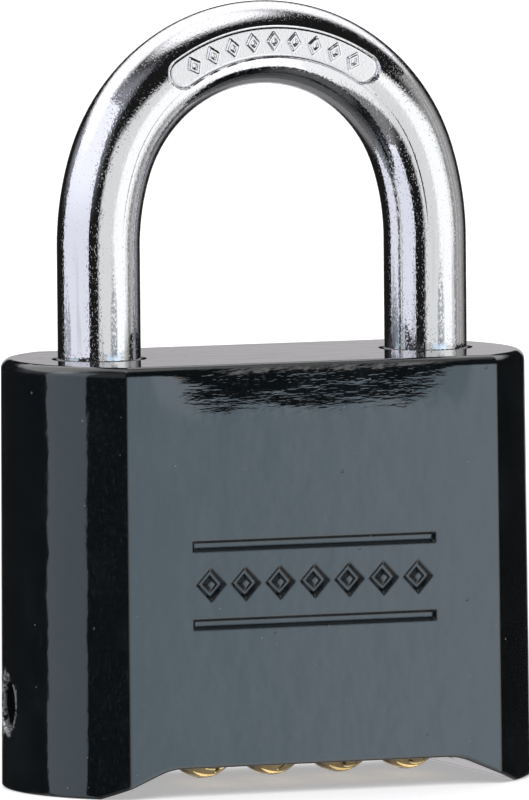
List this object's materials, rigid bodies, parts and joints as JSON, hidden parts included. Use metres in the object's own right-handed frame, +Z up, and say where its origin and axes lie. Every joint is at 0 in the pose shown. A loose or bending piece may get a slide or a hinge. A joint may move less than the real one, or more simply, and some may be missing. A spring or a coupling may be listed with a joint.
{
  "type": "combination padlock",
  "caption": "Heavy cast padlock with a chromed round shackle, a scooped underside with brass number dials, and a side hole for resetting the combination.",
  "frame": {"origin": "on the ground under the middle of the case, between its two skirts", "axes": "+X along the front towards the toe leg of the shackle, +Y from the front face to the back, +Z up towards the shackle"},
  "size_m": [0.0518, 0.027, 0.0746],
  "materials": {
    "enamel": "gloss black enamel over zinc casting",
    "chrome": "bright chromed hardened steel",
    "aged_brass": "aged brass with dark oxide in the recesses",
    "hub_brass": "plain turned brass",
    "plate_steel": "gloss black enamel",
    "zinc_steel": "zinc-plated steel",
    "spring_steel": "blued spring steel",
    "cam_steel": "plain machined steel"
  },
  "bodies": {
    "case": {"lock_case": "enamel", "shackle_spring": "spring_steel", "spring_seat_washer": "zinc_steel", "heel_retaining_pin": "cam_steel", "latch_pivot_pin": "cam_steel", "bar_guide_plate": "zinc_steel", "guide_plate_rivets": "zinc_steel", "dial_spindle": "cam_steel", "thrust_washers": "hub_brass", "dial_window_plate": "plate_steel", "plate_screws": "zinc_steel", "detent_spring_comb": "spring_steel", "comb_rivets": "zinc_steel", "reset_cam_pin": "cam_steel"},
    "shackle": {"shackle": "chrome"},
    "latch": {"latch_lever": "cam_steel", "latch_spring": "spring_steel"},
    "bar": {"locking_bar": "cam_steel"},
    "reset": {"reset_cam": "cam_steel"},
    "wheel_1": {"dial_1": "aged_brass", "hub_1": "hub_brass"},
    "wheel_2": {"dial_2": "aged_brass", "hub_2": "hub_brass"},
    "wheel_3": {"dial_3": "aged_brass", "hub_3": "hub_brass"},
    "wheel_4": {"dial_4": "aged_brass", "hub_4": "hub_brass"}
  },
  "joints": [
    {"name": "shackle_lift", "type": "slide", "parent": "case", "child": "shackle", "axis": [0, 0, 1], "range_m": [0, 0.0135], "deforming": ["shackle_spring"]},
    {"name": "latch_swing", "type": "hinge", "parent": "case", "child": "latch", "pos_m": [0.009, 0, 0.0232], "axis": [0, -1, 0], "range_deg": [0, 17.1]},
    {"name": "bar_slide", "type": "slide", "parent": "case", "child": "bar", "axis": [1, 0, 0], "range_m": [0, 0.0016]},
    {"name": "reset_turn", "type": "hinge", "parent": "case", "child": "reset", "pos_m": [-0.0175, 0.0019, 0.0082], "axis": [1, 0, 0], "range_deg": [0, 90]},
    {"name": "dial_1_turn", "type": "hinge", "parent": "case", "child": "wheel_1", "pos_m": [-0.0068, 0, 0.0082], "axis": [1, 0, 0], "continuous": true},
    {"name": "dial_2_turn", "type": "hinge", "parent": "case", "child": "wheel_2", "pos_m": [0.00015, 0, 0.0082], "axis": [1, 0, 0], "continuous": true},
    {"name": "dial_3_turn", "type": "hinge", "parent": "case", "child": "wheel_3", "pos_m": [0.0071, 0, 0.0082], "axis": [1, 0, 0], "continuous": true},
    {"name": "dial_4_turn", "type": "hinge", "parent": "case", "child": "wheel_4", "pos_m": [0.01405, 0, 0.0082], "axis": [1, 0, 0], "continuous": true}
  ],
  "couplings": [
    {"joint": "latch_swing", "follows": "shackle_lift", "rad_per_m": 21.979},
    {"joint": "bar_slide", "follows": "shackle_lift", "ratio": 0.11111}
  ]
}
